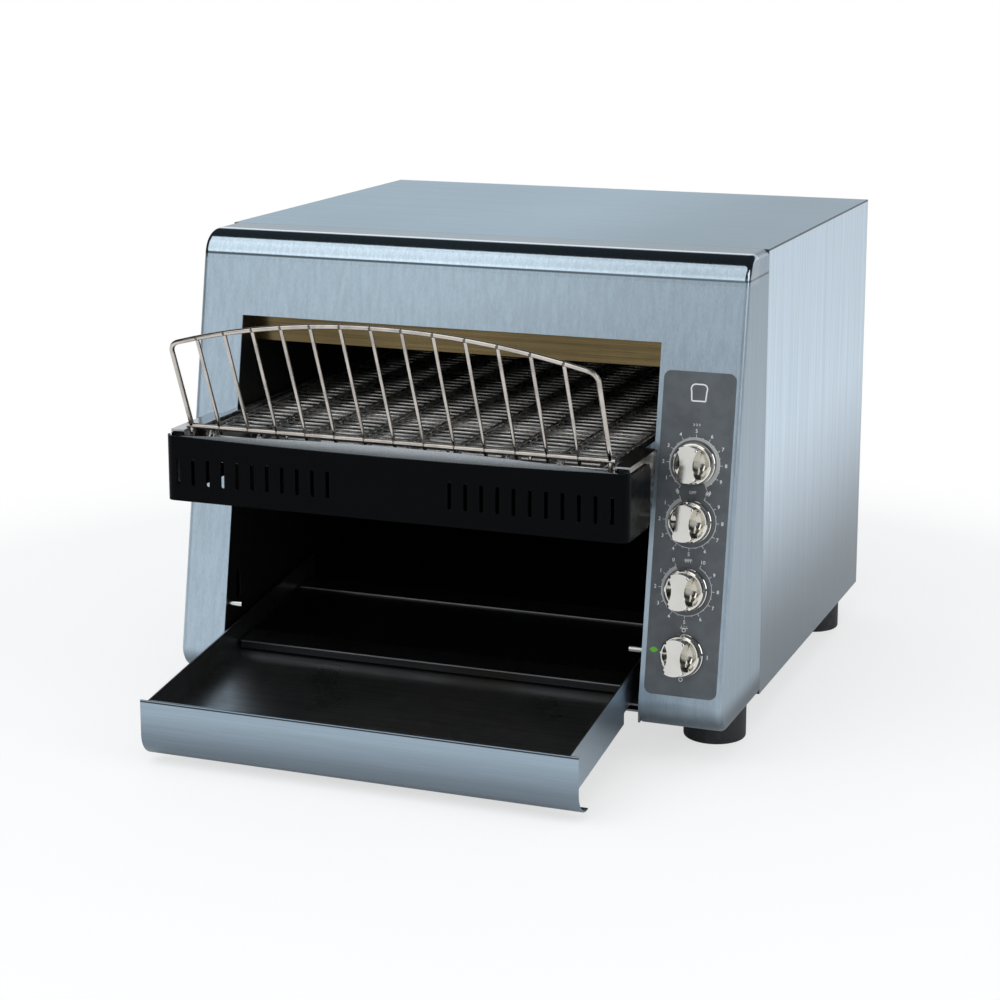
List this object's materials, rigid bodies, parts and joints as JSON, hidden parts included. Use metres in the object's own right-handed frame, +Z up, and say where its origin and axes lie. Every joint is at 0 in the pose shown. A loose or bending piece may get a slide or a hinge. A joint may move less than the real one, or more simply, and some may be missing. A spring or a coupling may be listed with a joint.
{
  "type": "conveyor toaster",
  "caption": "Countertop conveyor toaster: stainless case, wire belt into a quartz oven, lift-off wire guard, sloping catch tray and four dials.",
  "frame": {"origin": "on the counter, under the middle of the overall width and depth", "axes": "+X to the right of someone who faces it, +Y from front to back, +Z up"},
  "size_m": [0.47, 0.6266, 0.396],
  "materials": {
    "brushed_stainless": "brushed",
    "dark_steel": "satin",
    "bright_steel": "polished",
    "black_enamel": "gloss",
    "chrome": "polished",
    "wire_steel": "polished",
    "overlay_grey": "satin",
    "foot_rubber": "matte",
    "quartz": "frosted",
    "ceramic": "matte",
    "fibre": "matte",
    "bronze": "satin",
    "zinc_steel": "satin",
    "motor_paint": "satin",
    "black_plastic": "matte",
    "cream_plastic": "satin"
  },
  "bodies": {
    "case": {"base_pan": "zinc_steel", "bottom_heat_control": "cream_plastic", "burn_guard": "black_enamel", "case_screws": "zinc_steel", "control_overlay": "overlay_grey", "conveyor_belt": "wire_steel", "conveyor_side_left": "bright_steel", "conveyor_side_right": "bright_steel", "cord_gland": "black_plastic", "drive_chain": "zinc_steel", "drive_motor": "motor_paint", "element_caps": "ceramic", "fan_frame": "black_plastic", "feet": "foot_rubber", "foot_screws": "zinc_steel", "front_lip": "bright_steel", "front_panel": "brushed_stainless", "inner_wall_left": "dark_steel", "inner_wall_right": "dark_steel", "load_ledge": "dark_steel", "lower_quartz_tubes": "quartz", "lower_reflector": "bright_steel", "motor_bracket": "zinc_steel", "oven_rear_wall": "dark_steel", "oven_roof": "bright_steel", "power_switch": "cream_plastic", "product_slide": "dark_steel", "rear_panel": "brushed_stainless", "roof_insulation": "fibre", "shaft_bushes": "bronze", "side_panel_left": "brushed_stainless", "side_panel_right": "brushed_stainless", "slide_strips": "bright_steel", "speed_control": "zinc_steel", "terminal_block": "cream_plastic", "top_cover": "brushed_stainless", "top_heat_control": "cream_plastic", "tray_hold_pins": "zinc_steel", "tray_runners": "zinc_steel", "upper_quartz_tubes": "quartz"},
    "tray": {"tray_pan": "dark_steel", "tray_apron": "brushed_stainless"},
    "guard": {"wire_guard": "wire_steel"},
    "speed_dial": {"speed_knob": "chrome", "speed_spindle": "zinc_steel"},
    "top_heat_dial": {"top_heat_knob": "chrome", "top_heat_spindle": "zinc_steel"},
    "bottom_heat_dial": {"bottom_heat_knob": "chrome", "bottom_heat_spindle": "zinc_steel"},
    "power_dial": {"power_knob": "chrome", "power_spindle": "zinc_steel"},
    "drive_roll": {"drive_shaft": "zinc_steel", "drive_sprockets": "zinc_steel", "belt_chain_sprocket": "zinc_steel"},
    "idler_roll": {"idler_shaft": "zinc_steel", "idler_rollers": "zinc_steel"},
    "motor_output": {"motor_shaft": "zinc_steel", "motor_chain_sprocket": "zinc_steel"},
    "fan": {"fan_rotor": "black_plastic"}
  },
  "joints": [
    {"name": "tray_slide", "type": "slide", "parent": "case", "child": "tray", "axis": [0, -0.9903, -0.1392], "range_m": [0, 0.038]},
    {"name": "guard_lift", "type": "slide", "parent": "case", "child": "guard", "axis": [0, 0, 1], "range_m": [0, 0.03]},
    {"name": "speed_turn", "type": "hinge", "parent": "case", "child": "speed_dial", "pos_m": [0.201, -0.13961, 0.238], "axis": [0, -0.9848, 0.1736], "range_deg": [-150, 150]},
    {"name": "top_heat_turn", "type": "hinge", "parent": "case", "child": "top_heat_dial", "pos_m": [0.201, -0.14746, 0.1935], "axis": [0, -0.9848, 0.1736], "range_deg": [0, 325]},
    {"name": "bottom_heat_turn", "type": "hinge", "parent": "case", "child": "bottom_heat_dial", "pos_m": [0.201, -0.15662, 0.1415], "axis": [0, -0.9848, 0.1736], "range_deg": [0, 325]},
    {"name": "power_turn", "type": "hinge", "parent": "case", "child": "power_dial", "pos_m": [0.201, -0.16544, 0.0915], "axis": [0, -0.9848, 0.1736], "range_deg": [-90, 180]},
    {"name": "drive_spin", "type": "hinge", "parent": "case", "child": "drive_roll", "pos_m": [-0.0135, 0.18025, 0.2348], "axis": [1, 0, 0], "continuous": true},
    {"name": "idler_spin", "type": "hinge", "parent": "case", "child": "idler_roll", "pos_m": [-0.0135, -0.19475, 0.2348], "axis": [1, 0, 0], "continuous": true},
    {"name": "motor_spin", "type": "hinge", "parent": "case", "child": "motor_output", "pos_m": [0.178, 0.18025, 0.1318], "axis": [1, 0, 0], "continuous": true},
    {"name": "fan_spin", "type": "hinge", "parent": "case", "child": "fan", "pos_m": [0.2015, 0.28575, 0.312], "axis": [0, 1, 0], "continuous": true}
  ],
  "couplings": [
    {"joint": "idler_spin", "follows": "drive_spin", "ratio": 1},
    {"joint": "motor_spin", "follows": "drive_spin", "ratio": 1}
  ]
}
